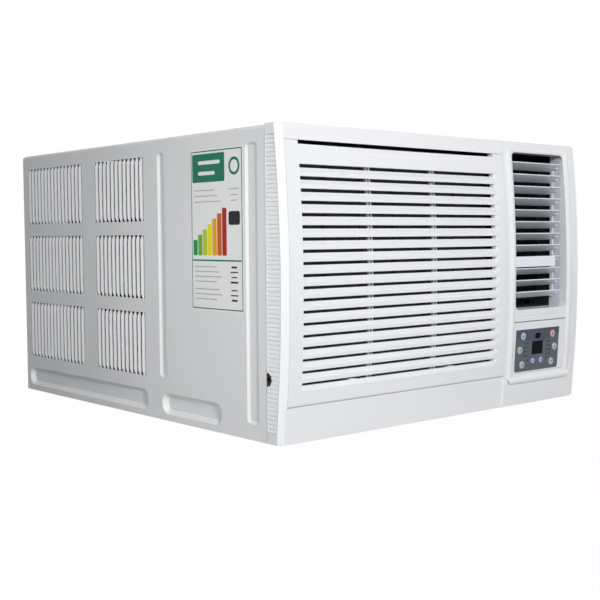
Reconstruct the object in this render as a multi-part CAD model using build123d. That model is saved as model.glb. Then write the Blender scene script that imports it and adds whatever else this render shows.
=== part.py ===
from build123d import *
import math
import os

# Window air conditioner, millimetres.
# While building, y = 0 is the front edge of the sheet cabinet, with the front panel at negative y.
# put() moves every piece so that the origin is under the middle of the whole unit.

# Cabinet
cab_width = 660.0
cab_height = 428.0
cab_depth = 702.0
sheet = 1.0
foot_drop = 2.0
bend_radius = 4.0
flange_width = 16.0
screw_head_height = 0.8
sheet_gap = 0.3
cut_over = 1.0

# Front panel outline: how far it reaches forward of the cabinet at several heights
reach_bottom = 29.5
reach_crease = 33.2
reach_middle = 40.2
reach_top = 27.5
crease_height = 51.0
middle_height = 235.0
face_inset = 8.3
strip_setback = 8.0
front_gap = 1.0
wall = 2.5
corner_radius = 18.0
groove = 0.8
band_recess = 1.6
band_end = 3.0
tongue_heights = (130.0, 350.0)
tongue_length = 30.0
tongue_depth = 12.0

# Ribbed strips on the sides of the front panel
rib_pitch = 5.9
rib_depth = 1.4
rib_floor = 0.4
rib_margin = 14.5
rib_edge = 1.5
rib_back = 3.0
rib_under = 0.7
rib_crest = 0.6
rib_fall = 0.3

# Cord outlet in the left edge of the front panel
cord_height = 88.4
cord_notch_radius = 9.4
cord_bore_radius = 3.4
cord_fit = 0.3
cord_grommet_length = 5.0
cord_flange = 2.0

# Intake grille and filter
top_bar = 22.0
panel_fit = 0.5
grille_depth = 10.0
slot_count = 19
slot_margin_left = 24.0
slot_margin_right = 25.0
first_slot_drop = 33.5
last_slot_rise = 30.5
slot_gap = 4.6
slot_end_run = 8.0
slot_end_depth = 2.0
bevel_height = 6.4
bevel_depth = 5.5
grip_gap = 5.0
grip_drop = 12.0
grip_depth = 4.5
mullion_width = 1.8
mullion_spread = 6.0
mullion_depth = 4.0
mullion_bite = 0.8
mullion_count = 2
hinge_round = 4.0
hinge_pin_radius = 1.2
hinge_pin_length = 2.8
hinge_block = 10.0
pin_clearance = 0.2
filter_margin = 20.0
filter_thickness = 4.0
filter_bar = 8.0
filter_columns = 6
filter_rows = 5
filter_net = 0.8
filter_back = 8.0
clip_width = 12.0
clip_height = 10.0
clip_spread = 103.0

# Air outlet
outlet_margin = 40.0
outlet_width = 137.0
outlet_drop = 17.0
outlet_height = 253.0
rim_width = 15.0
rim_land = 8.0
opening_corner = 8.0
bezel_proud = 2.2
bezel_width = 14.0
bezel_corner = 12.0
bezel_bar = 6.0
duct_wall = 2.5
duct_front = 26.0
duct_back = 85.8
ledge_height = 19.3
blade_count = 12
handle_index = 8
blade_chord = 26.0
blade_thickness = 1.8
blade_tilt = 24.0
blade_axis = 19.0
blade_first_drop = 20.3
blade_last_rise = 22.6
blade_side_gap = 1.0
blade_link_room = 5.0
pivot_radius = 2.0
pivot_reach = 2.0
crank_radius = 1.2
crank_arm = 9.0
link_width = 5.0
link_thickness = 2.0
link_wall_gap = 1.6
handle_height = 16.4
handle_thickness = 3.0
handle_short = 24.0
vane_count = 6
vane_chord = 28.0
vane_thickness = 1.6
vane_axis = 26.0
vane_side_gap = 11.0
vane_top_gap = 4.0
vane_bottom_gap = 16.0
vane_link_rise = 11.0
vane_link_thickness = 3.0
swing_motor_radius = 13.0
swing_motor_height = 18.0
swing_pin_reach = 7.0

# Ledge below the outlet, and the trim round the controls
ledge_slot_drop = 12.5
ledge_slot_height = 2.0
ledge_slot_lengths = (54.0, 54.0)
ledge_slot_gap = 6.0
ledge_slot_depth = 1.4
tab_width = 15.0
tab_height = 13.0
tab_proud = 0.7
lip_low = 38.0
lip_high = 50.0
lip_proud = 5.0
lip_foot = 0.7
lip_corner = 9.0

# Control panel, laid out about its own middle
control_margin = 0.5
control_rise = 3.0
control_fit = 0.4
control_top_gap = 0.9
control_thickness = 3.0
overlay_width = 115.5
overlay_height = 69.0
overlay_thickness = 0.6
overlay_shift = -6.7
overlay_drop = 5.7
overlay_corner = 4.5
display_width = 28.5
display_height = 21.5
display_rise = 2.9
receiver_width = 14.0
receiver_height = 9.4
receiver_rise = 22.5
window_proud = 0.2
window_fit = 0.2
button_radius = 6.2
small_button_radius = 4.7
button_round = 1.2
button_gap = 0.4
button_proud = 1.4
button_flange = 1.2
button_flange_thickness = 1.5
button_rest_gap = 0.1
button_travel = 0.8
switch_gap = 0.2
switch_size = 6.0
switch_height = 2.8
board_thickness = 1.6
board_margin = 4.0
post_radius = 2.5
post_inset = 3.0
holder_reach = 4.0
holder_height = 12.0
holder_thickness = 2.0
holder_spread = 22.0
top_row = (39.3, 23.6)
middle_row = (46.7, 1.4)
bottom_row = (39.3, -23.2)
small_row = (10.9, -18.6)

# Louvres pressed in the cabinet sides, each side seen as y from the front edge
louvre_pitch = 12.2
louvre_gap = 6.8
louvre_out = 1.1
louvre_in = 1.3
louvre_ramp = 7.0
louvre_end_share = 0.45
louvre_height = 98.0
louvre_row_pitch = 119.5
louvre_rows = 3
louvre_low = 65.0
rear_field_start = 487.0
rear_field_strips = 16
front_field_start = 297.0
front_field_strips = 12

# Pressed beads and recesses in the cabinet sides
narrow_bead_start = 240.0
narrow_bead_width = 17.5
narrow_bead_low = 67.0
wide_bead_start = 16.0
wide_bead_width = 26.0
wide_bead_low = 24.0
bead_top_drop = 22.0
bead_depth = 2.5
bead_slope = 4.0
bead_corner = 7.0
recess_low = 12.0
recess_height = 32.0
recess_depth = 7.0
recess_slope = 6.5
recess_corner = 15.0
long_recess_start = 291.0
long_recess_length = 399.0
short_recess_start = 100.0
short_recess_length = 152.0

# Base pan
pan_sheet = 1.2
pan_rim = 26.0
foot_length = 90.0
foot_width = 36.0
foot_inset_x = 60.0
foot_inset_y = 70.0
base_hole_radius = 3.5
drain_height = 17.0
drain_offset = 70.0
drain_outer = 8.0
drain_bore = 6.0
drain_reach = 14.0

# Rear guard
guard_slot_width = 14.0
guard_slot_gap = 6.0
guard_rows = 3
guard_border = 22.0
guard_screw_inset = 107.0

# Screws
screw_radius = 1.8
screw_head_radius = 4.0
screw_length = 8.0
screw_clearance = 0.2

# Cold side
fan_x = -95.0
fan_z = 225.0
evaporator_front = 14.0
evaporator_depth = 60.0
fin_pitch = 6.0
fin_gap = 5.2
coil_web = 4.0
coil_margin = 12.0
tray_thickness = 4.0
tray_leg = 20.0
inlet_front = 82.0
inlet_thickness = 4.0
inlet_radius = 100.0
scroll_radius = 186.0
scroll_wall = 4.0
scroll_back = 190.0
scroll_turn = 37.0
wheel_radius = 112.0
wheel_inner = 92.0
wheel_front = 94.0
wheel_depth = 86.0
wheel_blades = 36
wheel_plate = 3.0
wheel_blade = 1.5
shaft_radius = 6.0
shaft_clearance = 0.3
hub_radius = 14.0
hub_depth = 20.0

# Hot side
motor_gap = 12.0
motor_length = 95.0
motor_radius = 62.0
motor_plate = 2.8
motor_plate_size = 150.0
condenser_depth = 62.0
guard_gap = 12.0
shroud_gap = 58.0
shroud_hole = 187.0
shroud_ring = 1.5
shroud_ring_depth = 34.0
fan_radius = 178.0
fan_hub = 38.0
fan_hub_depth = 40.0
fan_blades = 5
fan_blade_pitch = 28.0
fan_blade_chord = 96.0
fan_blade_thickness = 2.4
slinger_thickness = 3.0
slinger_depth = 14.0
compressor_x = 225.0
compressor_y = 390.0
compressor_radius = 60.0
compressor_low = 34.0
compressor_top = 280.0
compressor_round = 20.0
compressor_plate = 4.0
compressor_plate_radius = 85.0
accumulator_dx = -75.0
accumulator_dy = -60.0
accumulator_radius = 26.0
accumulator_low = 90.0
accumulator_top = 250.0
grommet_radius = 11.0
grommet_circle = 72.0
pipe_radius = 4.0
pipe_bend = 16.0
pipe_hole = 8.0
suction_height = 90.0
discharge_height = 340.0
liquid_x = -250.0
liquid_height = 75.0

# Electrical box
box_left = 165.0
box_right_gap = 15.0
box_top_gap = 8.0
box_front = 2.0
box_depth = 60.0
box_sheet = 1.2
capacitor_radius = 20.0
capacitor_height = 80.0

# Derived places
half = cab_width / 2
face_half = half - face_inset
rear_reach = cab_depth + drain_reach
outlet_right = half - outlet_margin
outlet_left = outlet_right - outlet_width
outlet_top = cab_height - outlet_drop
outlet_bottom = outlet_top - outlet_height
part_x = outlet_left - rim_width - rim_land
grille_top = cab_height - top_bar
grille_low = crease_height + panel_fit
slot_left = -face_half + slot_margin_left
slot_right = part_x - slot_margin_right
first_slot = grille_top - first_slot_drop
last_slot = crease_height + last_slot_rise
slot_pitch = (first_slot - last_slot) / (slot_count - 1)
top_surface = cab_height - screw_head_height
flange_top = top_surface - sheet
pan_floor = foot_drop + sheet
pan_half = half - recess_depth - sheet - sheet_gap
pan_inside = pan_half - pan_sheet
pan_top = pan_floor + pan_sheet
screw_x = half - flange_width + screw_head_radius


def arc_centre():
    # Centre and radius of the circle through the crease, middle and top of the front panel
    y1, z1 = -reach_crease, crease_height
    y2, z2 = -reach_middle, middle_height
    y3, z3 = -reach_top, cab_height
    d = 2 * (y1 * (z2 - z3) + y2 * (z3 - z1) + y3 * (z1 - z2))
    s1, s2, s3 = y1**2 + z1**2, y2**2 + z2**2, y3**2 + z3**2
    cy = (s1 * (z2 - z3) + s2 * (z3 - z1) + s3 * (z1 - z2)) / d
    cz = (s1 * (y3 - y2) + s2 * (y1 - y3) + s3 * (y2 - y1)) / d
    return cy, cz, math.hypot(y1 - cy, z1 - cz)


arc_y, arc_z, arc_r = arc_centre()
reach_most = arc_r - arc_y
seam = (reach_most + bezel_proud - rear_reach) / 2


def reach(z):
    # How far the front face stands forward of the cabinet at height z
    if z < crease_height:
        share = (z - foot_drop) / (crease_height - foot_drop)
        return reach_bottom + (reach_crease - reach_bottom) * share
    return math.sqrt(arc_r**2 - (z - arc_z) ** 2) - arc_y


def put(shape, name):
    os.makedirs("parts", exist_ok=True)
    moved = Pos(0, seam, 0) * shape
    export_step(moved, "parts/" + name + ".step")


def group(solids):
    # Several separate solids in one node
    return Compound([s.solid() for s in solids])


def block(x0, x1, y0, y1, z0, z1):
    return Pos((x0 + x1) / 2, (y0 + y1) / 2, (z0 + z1) / 2) * Box(x1 - x0, y1 - y0, z1 - z0)


def rod_x(x0, x1, y, z, radius):
    return Pos((x0 + x1) / 2, y, z) * Rot(0, 90, 0) * Cylinder(radius, x1 - x0)


def rod_y(y0, y1, x, z, radius):
    return Pos(x, (y0 + y1) / 2, z) * Rot(90, 0, 0) * Cylinder(radius, y1 - y0)


def rod_z(z0, z1, x, y, radius):
    return Pos(x, y, (z0 + z1) / 2) * Cylinder(radius, z1 - z0)


def prism_x(points, x0, x1):
    # Outline of (y, z) points, drawn out from x0 to x1
    return extrude(Plane.YZ.offset(x0) * Polygon(*points, align=None), amount=x1 - x0, dir=(1, 0, 0))


def prism_y(points, y0, y1):
    # Outline of (x, z) points, drawn out from y0 to y1
    return extrude(Plane.XZ.offset(-y0) * Polygon(*points, align=None), amount=y1 - y0, dir=(0, 1, 0))


def window_y(x0, x1, z0, z1, corner, y0, y1):
    # A rectangle with rounded corners, seen from the front, drawn out from y0 to y1
    outline = Pos((x0 + x1) / 2, (z0 + z1) / 2) * RectangleRounded(x1 - x0, z1 - z0, corner)
    return extrude(Plane.XZ.offset(-y0) * outline, amount=y1 - y0, dir=(0, 1, 0))


def prism_z(points, z0, z1):
    return extrude(Plane.XY.offset(z0) * Polygon(*points, align=None), amount=z1 - z0, dir=(0, 0, 1))


def side_sketch(curves, x):
    return Plane.YZ.offset(x) * make_face(curves)


def face_arc(low, high, inset):
    # The curve of the front face between two heights, moved back by inset
    middle = (low + high) / 2
    return ThreePointArc(
        (-reach(low) + inset, low), (-reach(middle) + inset, middle), (-reach(high) + inset, high)
    )


def panel_section(x, inset, low, high, back):
    # Section of the front panel at x, from its bottom to its top
    start = (-reach(low) + inset, low)
    crease = (-reach(crease_height) + inset, crease_height)
    top = (-reach(high) + inset, high)
    curves = [
        Line((back, low), start),
        Line(start, crease),
        face_arc(crease_height, high, inset),
        Line(top, (back, high)),
        Line((back, high), (back, low)),
    ]
    return side_sketch(curves, x)


def arc_band(x0, x1, low, high, front, rear):
    # A curved plate that follows the front face, between two depths behind it
    curves = [
        face_arc(low, high, front),
        Line((-reach(high) + front, high), (-reach(high) + rear, high)),
        face_arc(low, high, rear),
        Line((-reach(low) + rear, low), (-reach(low) + front, low)),
    ]
    return extrude(side_sketch(curves, x0), amount=x1 - x0, dir=(1, 0, 0))


def panel_solid(inset, outer, inner, low, high, back):
    sections = [
        panel_section(-outer, inset + strip_setback, low, high, back),
        panel_section(-inner, inset, low, high, back),
        panel_section(inner, inset, low, high, back),
        panel_section(outer, inset + strip_setback, low, high, back),
    ]
    return loft(sections, ruled=True)


def corner_cutters(radius):
    # What lies outside the rounded corners at the right of the front panel, above and below
    x = half - corner_radius
    front = -reach_most - cut_over
    cutters = []
    for z, up in ((cab_height - corner_radius, 1), (foot_drop + corner_radius, -1)):
        end = z + up * corner_radius
        square = block(x, half + cut_over, front, 0, min(z, end), max(z, end))
        cutters.append(square - rod_y(front - cut_over, cut_over, x, z, radius))
    return cutters


# The outline that the hinge of the grille turns about
hinge_y = -reach(grille_low) + hinge_round
hinge_z = grille_low + hinge_round

# Control panel plane: x to the right, y up the panel, z out of it
control_low = crease_height + control_rise
control_high = outlet_bottom - ledge_height
control_left = outlet_left - control_margin
control_right = outlet_right + control_margin
control_low_y = -reach(control_low)
control_high_y = -reach(control_high)
control_slope = Vector(0, control_high_y - control_low_y, control_high - control_low).normalized()
control_normal = Vector(1, 0, 0).cross(control_slope)
control_middle = Vector(
    (control_left + control_right) / 2,
    (control_low_y + control_high_y) / 2,
    (control_low + control_high) / 2,
)
control_plane = Plane(
    origin=control_middle + Vector(overlay_shift, 0, 0) - control_slope * overlay_drop,
    x_dir=(1, 0, 0),
    z_dir=control_normal,
)
button_spots = {
    "power_button": (-top_row[0], top_row[1], button_radius),
    "mode_button": (top_row[0], top_row[1], button_radius),
    "sleep_button": (-middle_row[0], middle_row[1], button_radius),
    "timer_button": (middle_row[0], middle_row[1], button_radius),
    "swing_button": (-bottom_row[0], bottom_row[1], button_radius),
    "fan_button": (bottom_row[0], bottom_row[1], button_radius),
    "cooler_button": (-small_row[0], small_row[1], small_button_radius),
    "warmer_button": (small_row[0], small_row[1], small_button_radius),
}


# Depths behind the control panel's face
flange_back = -control_thickness - button_rest_gap - button_flange_thickness
switch_top = flange_back - button_travel - switch_gap
board_face = switch_top - switch_height
board_half_width = overlay_width / 2 - board_margin
board_half_height = overlay_height / 2 - board_margin


def on_controls(shape):
    return control_plane.location * shape


def slab(x0, x1, y0, y1, z0, z1):
    # A block in the control panel's own directions
    return on_controls(block(x0, x1, y0, y1, z0, z1))


# Front panel


def front_frame():
    back = -front_gap
    frame = panel_solid(0, half, face_half, foot_drop, cab_height, back)
    hollow = panel_solid(
        wall, half - wall, face_half - wall / 2, foot_drop + wall, cab_height - wall, back + cut_over
    )
    for cutter in corner_cutters(corner_radius - wall):
        hollow -= cutter
    frame -= hollow
    front = -reach_most - cut_over
    boss_face = arc_band(
        part_x + rim_land / 2,
        outlet_right + rim_land,
        outlet_bottom - rim_land,
        outlet_top + rim_land,
        wall / 2,
        reach_middle,
    )
    boss_limit = block(-half, half, front, -duct_front, 0, cab_height)
    frame += boss_face & boss_limit
    frame -= block(-face_half, part_x, front, back, crease_height, grille_top + panel_fit)
    frame -= window_y(
        outlet_left, outlet_right, outlet_bottom, outlet_top, opening_corner, front, 0
    )
    frame -= block(control_left, control_right, front, back, control_low, control_high)
    for hook in panel_holders():
        frame += hook
    frame += bezel()
    frame += side_tab()
    for x0, x1 in ledge_slots():
        z = outlet_bottom - ledge_slot_drop
        frame -= block(x0, x1, front, -reach(z) + ledge_slot_depth, z, z + ledge_slot_height)
    frame += band_backing()
    frame -= band_pocket()
    frame += hinge_ledge()
    frame -= panel_groove(grille_top, cab_height)
    for tongue in frame_tongues():
        frame += tongue
    for side in (-1, 1):
        frame -= rib_recess(side)
    frame -= rod_x(-half - cut_over, -half + 2 * wall, back, cord_height, cord_notch_radius)
    for x0, x1, outline in hinge_blocks():
        frame += prism_z(outline, crease_height, hinge_z + hinge_block)
        frame -= rod_x(x0, x1, hinge_y, hinge_z, hinge_pin_radius + pin_clearance)
    for cutter in corner_cutters(corner_radius):
        frame -= cutter
    return frame


def frame_tongues():
    # Tongues behind the side walls that push in between the cabinet sides
    inner = half - sheet
    tongues = []
    for z in tongue_heights:
        for x0, x1 in ((-inner, -inner + wall), (inner - wall, inner)):
            tongues.append(block(x0, x1, -tongue_depth, tongue_depth, z, z + tongue_length))
    return tongues


def panel_holders():
    # Hooks behind the edges of the control opening, which the control panel rests against
    left = control_left - control_plane.origin.X
    right = control_right - control_plane.origin.X
    back = -control_thickness - holder_thickness
    hooks = []
    for edge in (left, right):
        for rise in (-holder_spread, holder_spread):
            low = overlay_drop + rise - holder_height / 2
            high = low + holder_height
            hook = slab(edge - holder_reach, edge + holder_reach, low, high, back, -wall / 2)
            hooks.append(hook - slab(left, right, low, high, -control_thickness, cut_over))
    return hooks


def bezel_limb(x0, x1, low, high):
    # A bead with a rounded crown, which follows the curve of the front face
    def angle(z):
        return math.asin((z - arc_z) / arc_r)

    start = angle(high)
    plane = Plane(
        origin=(0, arc_y, arc_z),
        x_dir=(1, 0, 0),
        z_dir=(0, -math.sin(start), -math.cos(start)),
    )
    crown = ThreePointArc(
        (x0, arc_r), ((x0 + x1) / 2, arc_r + bezel_proud), (x1, arc_r)
    )
    floor = arc_r - wall / 2
    curves = [
        crown,
        Line((x1, arc_r), (x1, floor)),
        Line((x1, floor), (x0, floor)),
        Line((x0, floor), (x0, arc_r)),
    ]
    axis = Axis((0, arc_y, arc_z), (1, 0, 0))
    return revolve(plane * make_face(curves), axis, math.degrees(start - angle(low)))


def bezel_bar_above():
    low = outlet_top
    high = outlet_top + bezel_bar
    middle = (low + high) / 2
    curves = [
        ThreePointArc(
            (-reach(low), low), (-reach(middle) - bezel_proud / 2, middle), (-reach(high), high)
        ),
        Line((-reach(high), high), (-reach(high) + wall / 2, high)),
        Line((-reach(high) + wall / 2, high), (-reach(low) + wall / 2, low)),
        Line((-reach(low) + wall / 2, low), (-reach(low), low)),
    ]
    left, right = bezel_sides()
    return extrude(side_sketch(curves, left), amount=right - left, dir=(1, 0, 0))


def bezel_sides():
    return control_left - bezel_width, control_right + bezel_width


def bezel():
    # The raised rim round the outlet and the controls, with the lip at its foot
    left, right = bezel_sides()
    high = outlet_top + bezel_bar
    rim = bezel_limb(left, control_left, lip_low, high)
    rim += bezel_limb(control_right, right, lip_low, high)
    rim += bezel_bar_above()
    rim += lip()
    front = -reach_most - bezel_proud - cut_over
    return rim & window_y(left, right, lip_low, high, bezel_corner, front, 0)


def ledge_slots():
    first = outlet_left
    second = first + ledge_slot_lengths[0] + ledge_slot_gap
    return [(first, first + ledge_slot_lengths[0]), (second, second + ledge_slot_lengths[1])]


def lip():
    # The raised lip below the controls, round in front and undercut below
    top = (-reach(lip_high), lip_high)
    nose = (-reach(lip_low) - lip_proud, (lip_low + lip_high) / 2)
    foot = (-reach(lip_low) - lip_proud * lip_foot, lip_low)
    curves = [
        ThreePointArc(top, nose, foot),
        Line(foot, (-reach(lip_low) + wall / 2, lip_low)),
        Line((-reach(lip_low) + wall / 2, lip_low), (-reach(lip_high) + wall / 2, lip_high)),
        Line((-reach(lip_high) + wall / 2, lip_high), top),
    ]
    left, right = bezel_sides()
    bar = extrude(side_sketch(curves, left), amount=right - left, dir=(1, 0, 0))
    front = -reach_most - lip_proud
    return bar & window_y(left, right, lip_low, control_high, lip_corner, front, 0)


def side_tab():
    x = (outlet_right + face_half) / 2
    z = outlet_bottom - ledge_slot_drop
    y = -reach(z)
    depth = wall / 2
    return block(
        x - tab_width / 2, x + tab_width / 2, y - tab_proud, y + depth, z, z + tab_height
    )


def band_outline(inset, depth):
    # The band below the grille in y and z, between two depths behind its face
    low = foot_drop + wall / 2
    return [
        (-reach(low) + inset, low),
        (-reach(crease_height) + inset, crease_height),
        (-reach(crease_height) + inset + depth, crease_height),
        (-reach(low) + inset + depth, low),
    ]


def band_backing():
    # Thickens the wall behind the recessed band
    return prism_x(band_outline(wall / 2, wall / 2 + band_recess), -face_half, part_x + wall)


def band_pocket():
    # The band below the grille lies a little behind the grille's face, with a sloped right end
    front = -reach_most - cut_over
    bottom = foot_drop - cut_over

    def section(x, inset):
        points = [
            (front, bottom),
            (-reach(foot_drop) + inset, bottom),
            (-reach(crease_height) + inset, crease_height),
            (front, crease_height),
        ]
        return Plane.YZ.offset(x) * Polygon(*points, align=None)

    sections = [section(-half - cut_over, band_recess), section(part_x, band_recess)]
    return loft([*sections, section(part_x + band_end, 0)], ruled=True)


def hinge_ledge():
    # The band's top edge, hollowed round the hinge so that the grille's lower edge turns close to it
    front = -reach(crease_height) + band_recess
    ledge = block(-face_half, part_x, front, front + wall, crease_height - groove, hinge_z)
    return ledge - rod_x(-half, half, hinge_y, hinge_z, hinge_round + panel_fit)


def panel_groove(low, high):
    # Parting line that carries on from the grille's right edge
    front = -reach_most - groove
    curves = [
        Line((front, low), (-reach(low) + groove, low)),
        Line((-reach(low) + groove, low), (-reach(high) + groove, high)),
        Line((-reach(high) + groove, high), (front, high)),
        Line((front, high), (front, low)),
    ]
    return extrude(side_sketch(curves, part_x - groove / 2), amount=groove, dir=(1, 0, 0))


def strip_outline(edge, margin):
    # The side strip of the front panel, in y and z, inside its curved front edge
    low = foot_drop + margin
    high = cab_height - margin
    inset = strip_setback + edge
    start = (-reach(low) + inset, low)
    crease = (-reach(crease_height) + inset, crease_height)
    top = (-reach(high) + inset, high)
    back = -rib_back
    return [
        Line((back, low), start),
        Line(start, crease),
        face_arc(crease_height, high, inset),
        Line(top, (back, high)),
        Line((back, high), (back, low)),
    ]


def rib_recess(side):
    depth = rib_depth + rib_floor
    x = -half - depth if side < 0 else half - depth
    face = side_sketch(strip_outline(rib_edge, rib_margin), x)
    return extrude(face, amount=2 * depth, dir=(1, 0, 0))


def rib_strips():
    # Ribbed inlays that fill the recesses in the sides of the front panel
    edge = rib_edge + panel_fit / 2
    margin = rib_margin + panel_fit / 2
    low = foot_drop + margin
    length = cab_height - margin - low
    count = int(length / rib_pitch)
    pitch = length / count
    strips = []
    for side in (-1, 1):
        floor = half - rib_depth
        points = [(side * (half - rib_depth - rib_floor), low), (side * floor, low)]
        for k in range(count):
            z = low + k * pitch
            points.append((side * half, z + rib_under))
            points.append((side * (half - rib_fall), z + pitch * rib_crest))
            points.append((side * floor, z + pitch))
        points.append((side * (half - rib_depth - rib_floor), low + length))
        ribs = prism_y(points, -reach_most, 0)
        face = side_sketch(strip_outline(edge, margin), -half)
        shape = extrude(face, amount=cab_width, dir=(1, 0, 0))
        strip = ribs & shape
        notch = cord_notch_radius + cord_fit
        if side < 0:
            strip -= rod_x(-half - wall, -half + wall, -front_gap, cord_height, notch)
        strips.append(strip)
    return group(strips)


def cord_grommet():
    # Half round, in the notch of the left wall, with a flange behind the wall
    radius = cord_notch_radius - cord_fit
    end = -half + cord_grommet_length
    ring = rod_x(-half, end, -front_gap, cord_height, radius)
    ring += rod_x(-half + wall, end, -front_gap, cord_height, cord_notch_radius + cord_flange)
    ring -= block(-half, half, -front_gap - cord_fit, half, 0, cab_height)
    bore_y = -front_gap - radius / 2
    return ring - rod_x(-half, half, bore_y, cord_height, cord_bore_radius)


def hinge_blocks():
    # Where the two pins of the grille turn: pin hole ends and the block's outline from above
    y = -reach(hinge_z - hinge_block)
    depth = hinge_block
    left = -face_half - panel_fit / 2
    skin = groove
    far = -half + wall
    slope = strip_setback / face_inset
    outline_left = [
        (far, y + skin + slope * (left - far)),
        (left, y + skin),
        (left, y + depth),
        (far, y + depth),
    ]
    right = part_x + panel_fit / 2
    outline_right = [
        (right, y + wall / 2),
        (right + depth, y + wall / 2),
        (right + depth, y + depth),
        (right, y + depth),
    ]
    room = hinge_pin_length + panel_fit
    return [
        (left - room, left + panel_fit, outline_left),
        (right - panel_fit, right + room, outline_right),
    ]


def slot_points(z):
    # One slot of the grille, in y and z, with the bevel under it
    y = -reach(z)
    low = z - slot_gap / 2 - bevel_height
    front = y - grille_depth
    deep = grille_depth + mullion_depth
    return [
        (front, z + slot_gap / 2),
        (y + deep, z + slot_gap / 2),
        (y + deep, z - slot_gap / 2),
        (y + bevel_depth, z - slot_gap / 2),
        (-reach(low), low),
        (front, low),
    ]


def slot_end(z):
    # A sloped scoop that runs out from the right end of a slot to the face
    y = -reach(z)
    run = slot_end_run * (1 + cut_over / slot_end_depth)
    low = z - (slot_gap + bevel_height) / 2
    high = z + slot_gap / 2
    right = slot_right + run
    points = [(slot_right, y - cut_over), (right, y - cut_over), (slot_right, y + slot_end_depth)]
    return prism_z(points, low, high)


def finger_grip():
    # A shallow scoop in the grille's top edge, deepest in its middle
    low = grille_top - grip_gap - grip_drop
    high = grille_top - grip_gap
    start = Vector(0, -reach(low), low)
    end = Vector(0, -reach(high) + grip_depth, high)
    along = (end - start).normalized()
    middle = (slot_left + slot_right) / 2
    side = (slot_right - slot_left) / 2
    plane = Plane(origin=(middle, start.Y, start.Z), x_dir=(1, 0, 0), z_dir=along)
    out = 4 * grip_depth
    curves = [
        ThreePointArc((-side, -grip_depth), (0, 0), (side, -grip_depth)),
        Line((side, -grip_depth), (side, -out)),
        Line((side, -out), (-side, -out)),
        Line((-side, -out), (-side, -grip_depth)),
    ]
    face = plane * make_face(curves)
    return extrude(face, amount=2 * grip_drop, dir=along)


def intake_grille():
    left = -face_half + panel_fit
    right = part_x - panel_fit
    panel = arc_band(left, right, grille_low, grille_top, 0, grille_depth)
    for k in range(slot_count):
        z = first_slot - k * slot_pitch
        panel -= prism_x(slot_points(z), slot_left, slot_right)
        panel -= slot_end(z)
    panel -= block(
        slot_left, slot_right, -reach_most, 0, grille_top - grip_gap, grille_top + cut_over
    )
    panel -= finger_grip()
    step = (slot_right - slot_left) / (mullion_count + 1)
    for k in range(mullion_count):
        middle = slot_left + (k + 1) * step
        for x in (middle - mullion_spread / 2, middle + mullion_spread / 2):
            panel += arc_band(
                x - mullion_width / 2,
                x + mullion_width / 2,
                grille_low + hinge_round,
                grille_top - grip_gap,
                grille_depth - mullion_bite,
                grille_depth + mullion_depth,
            )
    # The lower front edge is rounded about the hinge, so that it turns clear of the frame
    front = -reach(grille_low) - cut_over
    corner = block(left, right, front, hinge_y, grille_low - cut_over, hinge_z)
    panel -= corner - rod_x(left, right, hinge_y, hinge_z, hinge_round)
    panel += rod_x(left - hinge_pin_length, left + hinge_round, hinge_y, hinge_z, hinge_pin_radius)
    panel += rod_x(right - hinge_round, right + hinge_pin_length, hinge_y, hinge_z, hinge_pin_radius)
    for x, z in filter_clips():
        y = -reach(z) + grille_depth / 2
        panel += block(
            x - clip_width / 2,
            x + clip_width / 2,
            y,
            -filter_back - filter_thickness,
            z - clip_height / 2,
            z + clip_height / 2,
        )
    return panel


def filter_frame():
    # Left, right, low and high edges of the filter
    return (
        -face_half + filter_margin,
        part_x - filter_margin,
        grille_low + filter_margin,
        grille_top - filter_margin,
    )


def filter_clips():
    left, right, low, high = filter_frame()
    inset = filter_bar / 2
    middle = (left + right) / 2
    spots = (middle - clip_spread, middle + clip_spread)
    return [(x, z) for x in spots for z in (low + inset, high - inset)]


def air_filter():
    left, right, low, high = filter_frame()
    front = -filter_back - filter_thickness
    plate = block(left, right, front, -filter_back, low, high)
    cell_x = (right - left - filter_bar) / filter_columns
    cell_z = (high - low - filter_bar) / filter_rows
    net = front + (filter_thickness - filter_net) / 2
    for i in range(filter_columns):
        for j in range(filter_rows):
            x = left + filter_bar + i * cell_x
            z = low + filter_bar + j * cell_z
            x1 = x + cell_x - filter_bar
            z1 = z + cell_z - filter_bar
            plate -= block(x, x1, front, net, z, z1)
            plate -= block(x, x1, net + filter_net, -filter_back, z, z1)
    return plate


# Air outlet


blade_pitch = (outlet_height - blade_first_drop - blade_last_rise) / (blade_count - 1)
vane_pitch = (outlet_width - 2 * vane_side_gap) / (vane_count - 1)


def blade_height(k):
    return outlet_top - blade_first_drop - k * blade_pitch


def vane_x(k):
    return outlet_left + vane_side_gap + k * vane_pitch


def crank_spot(k):
    # Where a blade's link pin is, behind and below its pivot
    turn = math.radians(blade_tilt)
    return -blade_axis + crank_arm * math.cos(turn), blade_height(k) - crank_arm * math.sin(turn)


def outlet_duct():
    x0 = outlet_left - duct_wall
    x1 = outlet_right + duct_wall
    z0 = outlet_bottom - duct_wall
    z1 = outlet_top + duct_wall
    duct = block(x0, x1, -duct_front, duct_back, z0, z1)
    duct -= block(outlet_left, outlet_right, -duct_front, duct_back, outlet_bottom, outlet_top)
    hole = pivot_radius + pin_clearance
    for k in range(blade_count):
        duct -= rod_x(x0, x1, -blade_axis, blade_height(k), hole)
    for k in range(vane_count):
        duct -= rod_z(z0, z1, vane_x(k), vane_axis, hole)
    return duct


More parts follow.
